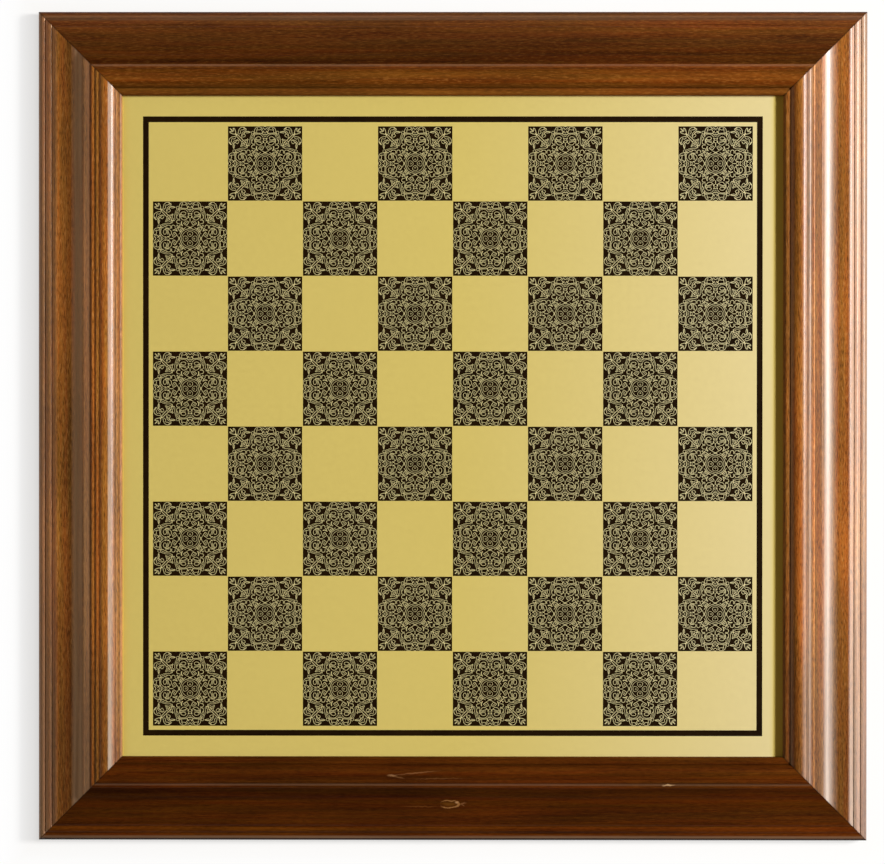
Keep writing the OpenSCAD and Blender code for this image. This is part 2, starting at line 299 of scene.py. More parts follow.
wood = {
    "front": {
        "turn": 0, "seed": 3.1, "lustre": 0.2, "shine": 0.03, "pore": 0.75, "fleck": 0.1,
        "dark": (0.046, 0.009, 0.0005), "warm": (0.116, 0.0285, 0.0017), "pale": (0.26, 0.09, 0.012),
        "paintedEndShading": [(-161, 1.12), (-110, 1.07), (-55, 1.0), (50, 1.04), (105, 1.0), (159, 1.2), (200, 1.25)],
        "paintedMemberLight": [(0.0, 0.4), (1.1, 0.4), (1.6, 1.1), (3.0, 1.15), (7.5, 1.5), (9.6, 1.0), (19.0, 1.0),
                 (22.0, 1.3), (24.0, 0.95), (27.5, 0.72), (29.3, 0.95), (31.0, 0.85), (33.0, 1.05),
                 (35.5, 0.8), (40.0, 0.98), (42.0, 0.95)],
        "paintedSheen": [("dull", [(1.1, 0.0), (1.6, 0.8), (2.4, 0.55), (3.0, 0.0), (30.2, 0.0), (30.7, 0.3),
                           (31.4, 0.25), (31.9, 0.0)])],
    },
    "right": {
        "turn": 90, "seed": 11.7, "lustre": 0.26, "shine": 0.1, "pore": 0.5, "fleck": 0.4,
        "dark": (0.3, 0.088, 0.01), "warm": (0.62, 0.205, 0.028), "pale": (0.85, 0.42, 0.13),
        "paintedEndShading": [(-195, 0.52), (-165, 0.62), (-115, 0.85), (-60, 1.0), (180, 1.0), (205, 0.9)],
        "paintedMemberLight": [(0.0, 0.5), (1.6, 0.55), (3.0, 0.82), (6.0, 1.0), (8.0, 0.92), (10.0, 0.74),
                 (12.0, 1.07), (18.0, 0.98), (20.0, 0.82), (23.0, 0.8), (25.0, 0.92), (28.0, 1.0),
                 (30.5, 0.98), (33.0, 0.75), (35.5, 0.65), (38.5, 0.78), (40.6, 1.05), (42.0, 1.1),
                 (43.0, 0.75), (44.6, 0.52)],
        "paintedSheen": [("pale", [(0.0, 0.12), (2.2, 0.2), (3.6, 0.26), (5.0, 0.25), (7.5, 0.32), (9.4, 0.28),
                           (10.8, 0.0), (16.0, 0.0), (18.5, 0.12), (20.2, 0.35), (21.6, 0.5),
                           (23.2, 0.36), (24.4, 0.05), (27.8, 0.03), (29.8, 0.03), (31.2, 0.25),
                           (33.0, 0.2), (34.8, 0.08), (36.2, 0.0), (40.0, 0.0), (41.6, 0.17),
                           (43.0, 0.0)])],
        "polish": [(0.0, 1.0), (24.0, 1.0), (24.9, 0.3), (29.3, 0.3), (29.8, 1.0)],
    },
    "back": {
        "turn": 180, "seed": 23.9, "lustre": 0.2, "shine": 0.03, "pore": 0.68, "fleck": 0.35,
        "dark": (0.085, 0.019, 0.001), "warm": (0.2, 0.052, 0.004), "pale": (0.4, 0.16, 0.03),
        "paintedEndShading": [(-200, 1.2), (-159, 1.15), (-105, 1.07), (-52, 1.12), (0, 1.0), (60, 0.9), (161, 0.92)],
        "paintedMemberLight": [(0.0, 0.7), (2.0, 0.8), (3.0, 1.0), (10.0, 1.0), (14.0, 0.85), (20.0, 0.72),
                 (27.5, 0.64), (29.3, 0.95), (33.0, 0.93), (35.5, 1.1), (38.5, 1.25), (41.0, 1.1),
                 (42.5, 0.95), (44.4, 1.1)],
        "paintedSheen": [("dull", [(0.6, 0.0), (2.0, 0.15), (3.0, 0.5), (4.0, 0.35), (5.2, 0.1), (9.0, 0.05),
                           (29.0, 0.0), (29.5, 0.45), (30.1, 0.35), (30.6, 0.05)]),
                 ("amber", [(32.4, 0.0), (34.5, 0.1), (37.2, 0.1), (39.0, 0.02), (41.0, 0.08),
                            (44.0, 0.14)])],
    },
    "left": {
        "turn": 270, "seed": 37.3, "lustre": 0.36, "shine": 0.1, "pore": 0.5, "fleck": 0.4,
        "dark": (0.26, 0.085, 0.012), "warm": (0.56, 0.195, 0.03), "pale": (0.8, 0.4, 0.12),
        "paintedEndShading": [(60, 1.0), (115, 0.85), (165, 0.68), (195, 0.6)],
        "paintedMemberLight": [(0.0, 1.0), (3.0, 0.8), (5.0, 2.0), (6.8, 0.72), (8.3, 1.8), (9.6, 1.25), (12.0, 0.85),
                 (14.5, 0.7), (17.5, 0.75), (19.5, 1.2), (21.5, 1.6), (27.5, 1.5), (29.4, 0.8),
                 (31.0, 1.0), (33.0, 1.05), (34.8, 1.45), (36.5, 1.1), (38.5, 0.85), (40.2, 0.9),
                 (42.0, 1.4), (43.6, 1.45), (44.6, 0.75)],
        "paintedSheen": [("ash", [(0.0, 0.4), (1.6, 0.5), (3.0, 0.3), (4.8, 0.5), (6.4, 0.25), (8.2, 0.3),
                          (10.0, 0.15), (11.0, 0.0), (18.0, 0.0), (19.5, 0.35), (20.8, 0.8), (23.5, 0.75),
                          (25.0, 0.3), (28.0, 0.35), (29.0, 0.0)]),
                 ("pale", [(38.2, 0.0), (38.8, 0.38), (39.6, 0.32), (40.6, 0.08), (41.4, 0.05),
                           (42.6, 0.16), (43.6, 0.05)])],
        "polish": [(0.0, 1.0), (42.8, 1.0), (43.6, 0.3)],
    },
    # colours of the painted sheen and highlights
    "tones": {"dull": (0.22, 0.135, 0.08), "ash": (0.5, 0.355, 0.245),
              "pale": (0.82, 0.73, 0.655), "amber": (0.3, 0.16, 0.03)},
    # noise cells in a metre: along the rail, inwards and down
    "grain": {"figure": (4, 90, 70), "streaks": (12, 420, 420), "fibres": (90, 2300, 2300),
              "pores": (300, 2200, 2200), "patches": (14, 22, 22), "hue": (9, 300, 300)},
    "lacquerRough": 0.27, "woodRough": 0.5, "seamWidth": 0.7, "seamTone": 0.4,
    "bump": (0.6, 0.00012), "coatBump": (0.5, 0.00004),
    # how light the stain is from the outer edge inwards, together with painted shade in the hollows, in the
    # steps' grooves and at the foot of the ridge: distance, share
    "stainAndShade": [(0.0, 0.7), (2.4, 0.92), (3.6, 0.8), (4.6, 0.72), (6.6, 0.85), (7.4, 0.78), (9.4, 0.8),
              (11.4, 0.68), (14.5, 0.62), (18.0, 0.58), (20.5, 0.66), (24.5, 0.66), (27.0, 0.55),
              (28.9, 0.48), (29.3, 1.0), (30.9, 0.95), (31.4, 0.62), (32.2, 0.8), (34.5, 0.95),
              (38.0, 0.97), (41.0, 0.64), (41.8, 0.58), (42.4, 0.88), (44.2, 0.88)],
    # knot and flame in the near rail: middle (along, in from the edge), half size, turn, side that
    # stays open, tone, amount
    "marks": [
        ((-1.5, 20.1), (5.0, 1.6), 0, 0, (0.13, 0.048, 0.006), 0.8),
        ((-1.85, 20.1), (5.6, 2.1), 0, -1, (0.34, 0.16, 0.05), 0.9),
        ((2.3, 21.0), (1.6, 0.6), 0, 0, (0.5, 0.28, 0.13), 0.8),
        ((5.8, 20.5), (1.9, 0.4), 17, 0, (0.3, 0.13, 0.05), 0.6),
        ((5.4, 19.5), (1.4, 0.4), -30, 0, (0.3, 0.13, 0.05), 0.6),
        ((-17.4, 18.7), (12.0, 0.35), 0, 0, (0.3, 0.12, 0.03), 0.3),
        ((-20.0, 37.4), (15.0, 0.5), 5.6, 0, (0.34, 0.16, 0.06), 0.4),
        ((-29.4, 35.2), (5.0, 0.5), -13, 0, (0.34, 0.16, 0.06), 0.4),
        ((-8.0, 34.3), (18.0, 0.35), 0.5, 0, (0.3, 0.13, 0.045), 0.4),
        ((-32.0, 36.1), (3.2, 0.8), 0, 0, (0.38, 0.2, 0.09), 0.6),
        ((114.8, 30.9), (3.8, 0.6), 2, 0, (0.5, 0.32, 0.17), 0.95),
    ],
    "markStrength": 0.85, "waver": (0.002, 0.0014, 0),
}


def addMark(tree, rail, colour, mark, row):
    # a hairpin line in the grain, or a small solid spot where no side is open
    (alongAt, inAt), (halfLong, halfWide), turn, openSide, tone, strength = mark
    local = addNode(tree, "Mapping", (-900, row), {
        "Vector": rail, "Location": (alongAt * mm, inAt * mm - outerHalf, 0),
        "Rotation": (0, 0, radians(turn)), "Scale": (halfLong * mm, halfWide * mm, 1)},
        vector_type="TEXTURE").outputs[0]
    away = addNode(tree, "VectorMath", (-700, row), {0: local}, operation="LENGTH").outputs["Value"]
    if openSide:
        away = addMath(tree, (-600, row), "MULTIPLY", away, 0.5)
        mask = addRamp(tree, (-500, row), away, [(0.38, 0.0), (0.45, 1.0), (0.51, 1.0), (0.57, 0.0)])
        side = addNode(tree, "SeparateXYZ", (-700, row - 150), {0: local}).outputs["X"]
        side = addMath(tree, (-600, row - 150), "MULTIPLY", side, -0.5 * openSide)
        side = addMath(tree, (-500, row - 150), "ADD", side, 0.5)
        mask = addMath(tree, (-300, row), "MULTIPLY", mask, addRamp(tree, (-450, row - 150), side, [
            (0.06, 0.0), (0.30, 1.0)]))
    else:
        mask = addRamp(tree, (-500, row), away, [(0.35, 1.0), (1.0, 0.0)])
    amount = addMath(tree, (-200, row), "MULTIPLY", mask, strength * wood["markStrength"])
    return addMix(tree, (-50, row), "MIX", amount, colour, tone)


def woodMaterial(side):
    own = wood[side]
    grain = wood["grain"]
    material, tree, shader = newMaterial("lacqueredWood_" + side)
    place = addNode(tree, "TexCoord", (-1700, 0))
    # turned so that every rail reads as the near one does: x along the grain, y inwards, z up
    rail = addNode(tree, "Mapping", (-1500, 0), {"Vector": place.outputs["Object"],
                                                "Rotation": (0, 0, radians(-own["turn"]))}).outputs[0]
    shift = own["seed"]
    figure = addStretched(tree, (-1200, 500), rail, grain["figure"], (shift, shift, 0), 4, 0.55, 0.6)
    streaks = addStretched(tree, (-1200, 250), rail, grain["streaks"], (0, shift, shift), 3, 0.6)
    fibres = addStretched(tree, (-1200, 0), rail, grain["fibres"], (shift, 0, 0), 2, 0.5)
    pores = addStretched(tree, (-1200, -250), rail, grain["pores"], (shift, 0, shift), 2, 0.55)
    patches = addStretched(tree, (-1200, -500), rail, grain["patches"], (0, shift, 0), 2, 0.5)

    tone = addMix(tree, (-700, 420), "MIX", 0.55, figure, streaks)
    tone = addMix(tree, (-560, 420), "MIX", 0.25, tone, fibres)
    colour = addRamp(tree, (-400, 420), tone, [(0.38, own["dark"]), (0.50, tuple(
        0.5 * (d + w) for d, w in zip(own["dark"], own["warm"]))), (0.62, own["warm"])])
    hue = addStretched(tree, (-1200, -750), rail, grain["hue"], (shift, shift, 2), 3, 0.6)
    colour = addMix(tree, (-250, 420), "MULTIPLY", 1.0, colour, addRamp(tree, (-700, -750), hue, [
        (0.38, (1.07, 0.91, 0.87)), (0.62, (0.94, 1.08, 1.0))]))
    poreMask = addRamp(tree, (-700, -250), pores, [(0.36, own["pore"]), (0.47, 1.0)])
    colour = addMix(tree, (-100, 350), "MULTIPLY", 1.0, colour, poreMask)
    fleckMask = addMath(tree, (-300, -350), "MULTIPLY", addRamp(tree, (-700, -400), pores, [
        (0.55, 0.0), (0.68, 1.0)]), own["fleck"])
    colour = addMix(tree, (0, 350), "MIX", fleckMask, colour, own["pale"])
    worn = addRamp(tree, (-700, -500), patches, [(0.35, 0.84), (0.65, 1.1)])
    colour = addMix(tree, (100, 350), "MULTIPLY", 1.0, colour, worn)
    inward = addNode(tree, "SeparateXYZ", (-1200, 750), {0: rail}).outputs["Y"]
    across = addNode(tree, "MapRange", (-1000, 750), {"Value": inward, "From Min": -outerHalf,
                                                     "From Max": -sightHalf}).outputs[0]
    railW = (outerHalf - sightHalf) / mm
    # the stain across the moulding, with painted shade in its hollows
    stainAndShade = addRamp(tree, (-800, 750), across, [(s / railW, share) for s, share in wood["stainAndShade"]])
    colour = addMix(tree, (250, 350), "MULTIPLY", 1.0, colour, stainAndShade)
    # each rail's members are painted lighter or darker, a painted light and shade of how the lamp falls on
    # them
    paintedMemberLight = addDoubled(tree, 1000, across, [(s / railW, share) for s, share in own["paintedMemberLight"]])
    colour = addMix(tree, (400, 350), "MULTIPLY", 1.0, colour, paintedMemberLight)
    # painted light and shade along the rail: it is painted darker or lighter towards its ends, as the lamp
    # falls off
    along = addNode(tree, "SeparateXYZ", (-1200, 900), {0: rail}).outputs["X"]
    paintedLengthShading = addNode(tree, "MapRange", (-1000, 900), {"Value": along, "From Min": -outerHalf,
                                                         "From Max": outerHalf}).outputs[0]
    paintedLengthShading = addDoubled(tree, 880, paintedLengthShading, [
        ((x * mm / outerHalf + 1) / 2, share) for x, share in own["paintedEndShading"]])
    colour = addMix(tree, (470, 350), "MULTIPLY", 1.0, colour, paintedLengthShading)
    # the mitre shows as a thin dark line: in the turned frame it lies where |x| equals -y
    seam = addMath(tree, (-1000, 1100), "ADD", addMath(tree, (-1100, 1100), "ABSOLUTE", along), inward)
    seam = addNode(tree, "MapRange", (-800, 1100), {
        "Value": seam, "From Min": -wood["seamWidth"] * mm, "From Max": 0.0, "To Min": 1.0,
        "To Max": wood["seamTone"]}).outputs[0]
    # a painted sheen: pale, grey, dull and amber bands are mixed in where the lacquer catches the light,
    # painted highlights and reflections
    paintedSheenSpots = [(s / railW, amount, wood["tones"][name]) for name, spots in own["paintedSheen"] for s, amount in spots]
    paintedSheen = addRamp(tree, (-800, 1250), across, [(spot, amount) for spot, amount, shade in paintedSheenSpots])
    paintedSheenTone = addRamp(tree, (-800, 1350), across, [(spot, shade) for spot, amount, shade in paintedSheenSpots])
    paintedSheen = addMath(tree, (-500, 1250), "MULTIPLY", paintedSheen, addRamp(tree, (-800, 1500), streaks, [
        (0.35, 0.7), (0.6, 1.0)]))
    colour = addMix(tree, (550, 350), "MIX", paintedSheen, colour, paintedSheenTone)
    colour = addMix(tree, (620, 350), "MULTIPLY", 1.0, colour, seam)
    if side == "front":
        waver = addNode(tree, "TexNoise", (-1300, 1700), {"Vector": rail, "Scale": 420.0, "Detail": 2.0})
        waver = addNode(tree, "VectorMath", (-1150, 1700), {0: waver.outputs["Color"], 1: (0.5, 0.5, 0.5)},
                        operation="SUBTRACT").outputs[0]
        waver = addNode(tree, "VectorMath", (-1050, 1700), {0: waver, 1: wood["waver"], 2: rail},
                        operation="MULTIPLY_ADD").outputs[0]
        for index, mark in enumerate(wood["marks"]):
            colour = addMark(tree, waver, colour, mark, 1700 + 350 * index)
    tree.links.new(colour, shader.inputs["Base Color"])

    height = addMath(tree, (-400, -80), "MULTIPLY", fibres, 0.4)
    for column, relief, share in ((-400, poreMask, 0.8), (-250, streaks, 0.6)):
        relief = addMath(tree, (column, -160), "MULTIPLY", relief, share)
        height = addMath(tree, (column + 150, -80), "ADD", height, relief)
    for row, key, socket in ((-100, "bump", "Normal"), (-280, "coatBump", "Coat Normal")):
        strength, depth = wood[key]
        bump = addNode(tree, "Bump", (100, row), {"Height": height, "Strength": strength, "Distance": depth})
        tree.links.new(bump.outputs[0], shader.inputs[socket])
    shader.inputs["Roughness"].default_value = wood["woodRough"]
    shader.inputs["Specular IOR Level"].default_value = own["shine"]
    shader.inputs["Coat Weight"].default_value = own["lustre"]
    if "polish" in own:  # the lacquer of these rails has worn thin in places
        polish = addRamp(tree, (300, -450), across, [(s / railW, share) for s, share in own["polish"]])
        polish = addMath(tree, (500, -450), "MULTIPLY", polish, own["lustre"])
        tree.links.new(polish, shader.inputs["Coat Weight"])
    shader.inputs["Coat Roughness"].default_value = wood["lacquerRough"]
    shader.inputs["Coat IOR"].default_value = 1.5
    return material


def buildFrame():
    rails = {}
    front = buildRail()
    sides = [("front", "rail_front"), ("right", "rail_right"), ("back", "rail_back"), ("left", "rail_left")]
    for turn, (side, node) in enumerate(sides):
        rail = front if turn == 0 else duplicate(front, side)
        rail.name = rail.data.name = "moulding_" + side
        rails[side] = rail
    for turn, (side, node) in enumerate(sides):
        rail = rails[side]
        rail.rotation_euler = (0, 0, radians(90 * turn))
        settle(rail)
        dress(rail, woodMaterial(side))
        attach(rail, "root")
        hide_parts(node)
    return rails


rails = buildFrame()
print("frame built:", len(rails["front"].data.polygons), "faces a rail")


# the scrollwork of the dark squares, drawn for one eighth of a square: the strokes' widths and points are in
# thousandths of the square's side, from its corner

lace = {
    # in mm: a square's side, how deep the strokes reach, how far each level lies under the last
    "side": 40.0, "sink": 0.1, "stagger": 0.003, "levels": 7, "thin": 0.36, "bulge": 1.08,
    "strokes": [
        # corner bud and its stem
        (20, [(112, 104), (108, 75), (95, 40), (82, 26), (70, 34)]),
        (24, [(32, 34), (48, 46), (66, 60)]),
        (22, [(78, 34), (80, 55), (72, 74)]),
        (30, [(98, 100), (112, 116), (126, 122)]),
        (21, [(120, 108), (148, 130), (180, 160), (212, 192)]),
        # scroll leaves beside the stem
        (17, [(138, 112), (142, 85), (148, 52), (168, 26), (196, 14), (226, 20)]),
        (28, [(212, 24), (236, 30), (250, 46)]),
        (16, [(152, 112), (174, 96), (176, 76), (166, 56)]),
        (17, [(176, 54), (198, 54), (220, 44), (238, 40)]),
        (16, [(184, 136), (188, 110), (204, 82), (230, 64), (252, 52)]),
        (28, [(216, 104), (228, 84), (256, 72), (290, 78), (304, 84)]),
        (18, [(248, 94), (272, 94), (296, 86)]),
        (16, [(190, 158), (192, 128), (208, 106), (228, 110), (240, 128), (226, 144), (204, 152)]),
        # star leaf on the diagonal
        (16, [(200, 200), (226, 188), (250, 184), (268, 174)]),
        (25, [(266, 170), (276, 184)]),
        (15, [(206, 232), (222, 208), (246, 196), (266, 190)]),
        (15, [(270, 188), (260, 206), (268, 226), (284, 246), (290, 262)]),
        (24, [(232, 212), (250, 224)]),
        (24, [(250, 246), (264, 254), (276, 266)]),
        (20, [(276, 258), (292, 264)]),
        # bow lines
        (14, [(322, 104), (308, 136), (298, 170), (294, 210), (300, 250)]),
        (14, [(346, 108), (330, 128), (320, 150), (312, 176), (322, 200)]),
        (19, [(334, 148), (344, 164), (336, 184), (322, 200)]),
        (16, [(322, 198), (318, 222), (330, 240), (352, 244), (368, 236)]),
        (18, [(366, 256), (340, 250), (320, 264), (320, 288), (338, 304), (354, 300)]),
        (20, [(354, 108), (352, 132), (356, 150)]),
        (22, [(362, 168), (358, 196), (366, 226)]),
        # edge bump
        (16, [(356, 86), (356, 58), (370, 32), (392, 14), (418, 10), (444, 18), (460, 34), (468, 52)]),
        (15, [(386, 76), (388, 58), (402, 50), (424, 54), (442, 44), (450, 30)]),
        (15, [(386, 56), (392, 40), (402, 26)]),
        (15, [(350, 90), (376, 90), (394, 82)]),
        (25, [(486, 66), (474, 82), (458, 98)]),
        (18, [(446, 46), (460, 66), (468, 80)]),
        (18, [(470, 18), (480, 38), (500, 46)]),
        (18, [(486, 9), (500, 8)]),
        (16, [(484, 86), (500, 94)]),
        # band and arch over the roundel
        (19, [(344, 106), (376, 98), (420, 96), (462, 102), (478, 114)]),
        (15, [(350, 130), (374, 114), (410, 106), (442, 114), (466, 136), (474, 150)]),
        # roundel
        (16, [(372, 190), (374, 164), (392, 147), (418, 142), (442, 152), (446, 170),
              (430, 184), (408, 188), (390, 178)]),
        (18, [(376, 160), (382, 180), (392, 192)]),
        (16, [(370, 190), (376, 222), (398, 248), (424, 256), (450, 246), (470, 222)]),
        (17, [(376, 206), (400, 206), (430, 216), (458, 230)]),
        (14, [(392, 196), (420, 198), (448, 204)]),
        # middle column
        (22, [(474, 118), (500, 114)]),
        (16, [(484, 132), (500, 140)]),
        (30, [(474, 160), (484, 182)]),
        (35, [(472, 200), (482, 224)]),
        (12, [(472, 192), (500, 192)]),
        (13, [(486, 160), (500, 172)]),
        (20, [(500, 222), (500, 276)]),
        # leaf pair and lozenge under the column
        (15, [(410, 300), (424, 282), (446, 266), (470, 266), (484, 280)]),
        (14, [(432, 304), (444, 288), (466, 280)]),
        (18, [(414, 298), (430, 312), (448, 322), (466, 312), (474, 296), (484, 284)]),
        (15, [(452, 328), (474, 338), (500, 356)]),
        (14, [(480, 356), (500, 346)]),
        # knots
        (30, [(390, 270), (380, 294), (392, 318), (402, 332)]),
        (26, [(345, 345), (366, 326)]),
        (18, [(362, 300), (366, 318), (384, 326)]),
        (18, [(326, 318), (340, 332)]),
        # lobed ring round the middle
        (17, [(352, 352), (372, 346), (392, 352), (408, 370)]),
        (15, [(364, 380), (384, 366), (404, 370), (414, 384)]),
        (17, [(410, 374), (426, 364), (440, 352)]),
        (17, [(500, 358), (474, 372), (444, 378), (418, 390), (400, 402)]),
        (17, [(380, 392), (394, 384), (412, 380)]),
    ],
    "rings": [
        # width, centre, half size; each is in every mirrored place
        (13, (335, 88), (18, 18)),
        (14, (240, 240), (14, 14)),
    ],
    "petals": [
        # the same with a taper, but on an axis of the square, so it is only turned
        (12, (500, 440), (35, 34), 0.4),
        (9, (500, 444), (8, 8), 0.0),
    ],
    "arcs": [
        (12, [(421, 421), (456, 393), (500, 384), (544, 393), (579, 421)]),
    ],
}


def shares(points):
    # thousandths of the side as shares of it
    return [(x / 1000, y / 1000) for x, y in points]


def mirrored(points, index):
    # one of the eight places of a stroke in the square
    placed = []
    for x, y in points:
        u, v = x - 0.5, 0.5 - y
        if index >= 4:
            u = -u
        for step in range(index % 4):
            u, v = -v, u
        placed.append((u * lace["side"] * mm, v * lace["side"] * mm))
    return placed


def addStroke(curve, width, points, closed=False):
    if len(points) == 2:
        points = [points[0], tuple((a + b) / 2 for a, b in zip(*points)), points[1]]
    line = curve.splines.new("NURBS")
    line.points.add(len(points) - 1)
    for spot, (x, y) in zip(line.points, points):
        spot.co = (x, y, 0, 1)
        spot.radius = width / 1000 * lace["side"] * lace["thin"]
    line.order_u = 3
    line.resolution_u = 2
    line.use_cyclic_u = closed
    line.use_endpoint_u = not closed


def ringPoints(centre, half, taper=0.0):
    # the eight control points of a ring that narrows downwards by the taper
    (middleX, middleY), (wide, high) = shares([centre, half])
    bulge = lace["bulge"]
    points = []
    for i in range(8):
        x, y = sin(2 * pi * i / 8), cos(2 * pi * i / 8)
        points.append((middleX + wide * bulge * x * (1 - taper * y), middleY + high * bulge * y))
    return points


def buildTile():
    clearSelection()
    bpy.ops.curve.primitive_bezier_circle_add(radius=0.01)
    profile = bpy.context.object
    profile.data.splines.clear()
    edge = profile.data.splines.new("POLY")
    edge.points.add(3)
    for spot, (x, y) in zip(edge.points, ((-0.5, -0.05), (0.5, -0.05), (0.5, 0.05), (-0.5, 0.05))):
        spot.co = (x * mm, y * mm, 0, 1)
    edge.use_cyclic_u = True

    parts = []
    work = []
    for width, points in lace["strokes"]:
        work += [(width, mirrored(shares(points), index), False) for index in range(8)]
    for width, centre, half in lace["rings"]:
        count = 4 if centre[0] == centre[1] else 8
        work += [(width, mirrored(ringPoints(centre, half), index), True) for index in range(count)]
    for width, centre, half, taper in lace["petals"]:
        work += [(width, mirrored(ringPoints(centre, half, taper), index), True) for index in range(4)]
    for width, points in lace["arcs"]:
        work += [(width, mirrored(shares(points), index), False) for index in range(4)]
    # each level lies a few thousandths lower, so that no two tops share one plane
    for level in range(lace["levels"]):
        clearSelection()
        bpy.ops.curve.primitive_bezier_circle_add(radius=0.01)
        obj = bpy.context.object
        curve = obj.data
        curve.splines.clear()
        curve.dimensions = "2D"
        curve.fill_mode = "NONE"
        curve.bevel_mode = "OBJECT"
        curve.bevel_object = profile
        curve.use_fill_caps = True
        for width, points, closed in work[level::lace["levels"]]:
            addStroke(curve, width, points, closed)
        pick(obj)
        bpy.ops.object.convert(target="MESH")
        obj = bpy.context.object
        top = plateTop - (0.002 + level * lace["stagger"]) * mm
        bottom = plateTop - (lace["sink"] + 0.03 + level * lace["stagger"]) * mm
        for vertex in obj.data.vertices:
            vertex.co.z = top if vertex.co.z > 0 else bottom
        parts.append(obj)
    bpy.data.objects.remove(profile)
    clearSelection()
    for part in parts:
        part.select_set(True)
    bpy.context.view_layer.objects.active = parts[0]
    bpy.ops.object.join()
    tile = bpy.context.object
    bpy.ops.object.mode_set(mode="EDIT")
    bpy.ops.mesh.select_all(action="SELECT")
    bpy.ops.mesh.remove_doubles(threshold=1e-7)
    bpy.ops.mesh.normals_make_consistent(inside=False)
    bpy.ops.object.mode_set(mode="OBJECT")
    bpy.ops.object.shade_flat()
    return tile


def buildScrollwork(material):
    tile = buildTile()
    made = []
    for rank in range(8):
        copies = []
        for file in range(8):
            if (rank + file) % 2 == 0:
                copied = duplicate(tile, "scroll")
                copied.location = ((file - 3.5) * lace["side"] * mm, (rank - 3.5) * lace["side"] * mm, 0)
                copies.append(copied)
        clearSelection()
        for copied in copies:
            copied.select_set(True)
        bpy.context.view_layer.objects.active = copies[0]
        bpy.ops.object.join()
        row = bpy.context.object
        row.name = row.data.name = "scrollwork_rank_" + str(rank + 1)
        settle(row)
        dress(row, material)
        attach(row, "root")
        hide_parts("filigree")
        made.append(row)
    bpy.data.objects.remove(tile)
    return made


# brass of the plate and the scrollwork

brass = {
    # colours of the plate and of the scrollwork, where they are bright and dull, and the paler colour of a
    # painted sheen, kept as worn
    "plate": {"pale": (0.935, 0.785, 0.238), "deep": (0.920, 0.768, 0.229), "worn": (0.910, 0.810, 0.51)},
    "scroll": {"pale": (0.870, 0.800, 0.420), "deep": (0.840, 0.770, 0.395), "worn": (0.880, 0.825, 0.53)},
    # painted shade in strips along the lip, where its shadow and shade fall on the plate: their colour, the
    # plate's half width in metres, and how much lies where, in mm
    "brown": (0.80, 0.62, 0.10), "reach": 0.18,
    "paintedShadeStrips": [(-176.0, 0.5), (-173.4, 0.1), (-172.6, 0.0), (169.8, 0.0), (171.2, 0.8), (180.0, 0.8)],
    # painted light: from where to where the brass is painted paler towards the right as a painted sheen, in
    # metres from the middle, and from where to where it is painted darker away from the left, and how dark
    "paintedSheenSpan": (0.0, 0.25), "paintedSheenCurve": 1.15, "paintedLeftLight": (-0.17, 0.02, 0.935),
    "clouds": (14, 14, 14), "mottle": (420, 420, 420), "grain": (2400, 2400, 400), "bump": (0.08, 0.00005),
    "metallic": 0.6, "rough": (0.53, 0.57), "shine": 0.25,
}


def brassMaterial(name, tones):
    material, tree, shader = newMaterial(name)
    place = addNode(tree, "TexCoord", (-1500, 0)).outputs["Object"]
    clouds = addStretched(tree, (-1200, 300), place, brass["clouds"], (4, 9, 0), 3, 0.55)
    mottle = addStretched(tree, (-1200, 50), place, brass["mottle"], (1, 2, 0), 3, 0.6)
    grain = addStretched(tree, (-1200, -200), place, brass["grain"], (0, 5, 0), 2, 0.5)
    tone = addMix(tree, (-800, 250), "MIX", 0.4, clouds, mottle)
    colour = addRamp(tree, (-600, 250), tone, [(0.35, tones["deep"]), (0.65, tones["pale"])])
    # painted light: the left side is painted a little lighter than the middle, and a painted sheen makes the
    # right side paler
    sideways = addNode(tree, "SeparateXYZ", (-1000, 550), {0: place}).outputs["X"]
    dull = addNode(tree, "MapRange", (-800, 800), {
        "Value": sideways, "From Min": brass["paintedLeftLight"][0], "From Max": brass["paintedLeftLight"][1],
        "To Min": 1.0, "To Max": brass["paintedLeftLight"][2]}).outputs[0]
    colour = addMix(tree, (-400, 400), "MULTIPLY", 1.0, colour, dull)
    amount = addNode(tree, "MapRange", (-800, 550), {"Value": sideways, "From Min": brass["paintedSheenSpan"][0],
                                                    "From Max": brass["paintedSheenSpan"][1]}).outputs[0]
    amount = addMath(tree, (-600, 550), "POWER", amount, brass["paintedSheenCurve"])
    colour = addMix(tree, (-250, 300), "MIX", amount, colour, tones["worn"])
    # painted shade: the strips along the lip, where it shades the plate, are painted browner
    spread = addMath(tree, (-800, 1000), "MULTIPLY", sideways, 0.5 / brass["reach"])
    spread = addMath(tree, (-650, 1000), "ADD", spread, 0.5)
    paintedShadeStrip = addRamp(tree, (-500, 1000), spread, [
        ((x * mm / brass["reach"] + 1) / 2, share) for x, share in brass["paintedShadeStrips"]])
    colour = addMix(tree, (-100, 400), "MIX", paintedShadeStrip, colour, brass["brown"])
    tree.links.new(colour, shader.inputs["Base Color"])
    rough = addRamp(tree, (-600, -50), mottle, [(0.3, brass["rough"][0]), (0.7, brass["rough"][1])])
    tree.links.new(rough, shader.inputs["Roughness"])
    strength, depth = brass["bump"]
    bump = addNode(tree, "Bump", (-300, -250), {"Height": grain, "Strength": strength, "Distance": depth})
    tree.links.new(bump.outputs[0], shader.inputs["Normal"])
    shader.inputs["Metallic"].default_value = brass["metallic"]
    shader.inputs["Specular IOR Level"].default_value = brass["shine"]
    return material


# enamel fills of the dark squares and the border line

enamel = {
    "deep": (0.008, 0.0032, 0.0003), "pale": (0.015, 0.0065, 0.0008),
    "clouds": (60, 60, 60), "specks": (1100, 1100, 300), "bump": (0.12, 0.00005),
    "rough": (0.45, 0.58), "shine": 0.06,
}


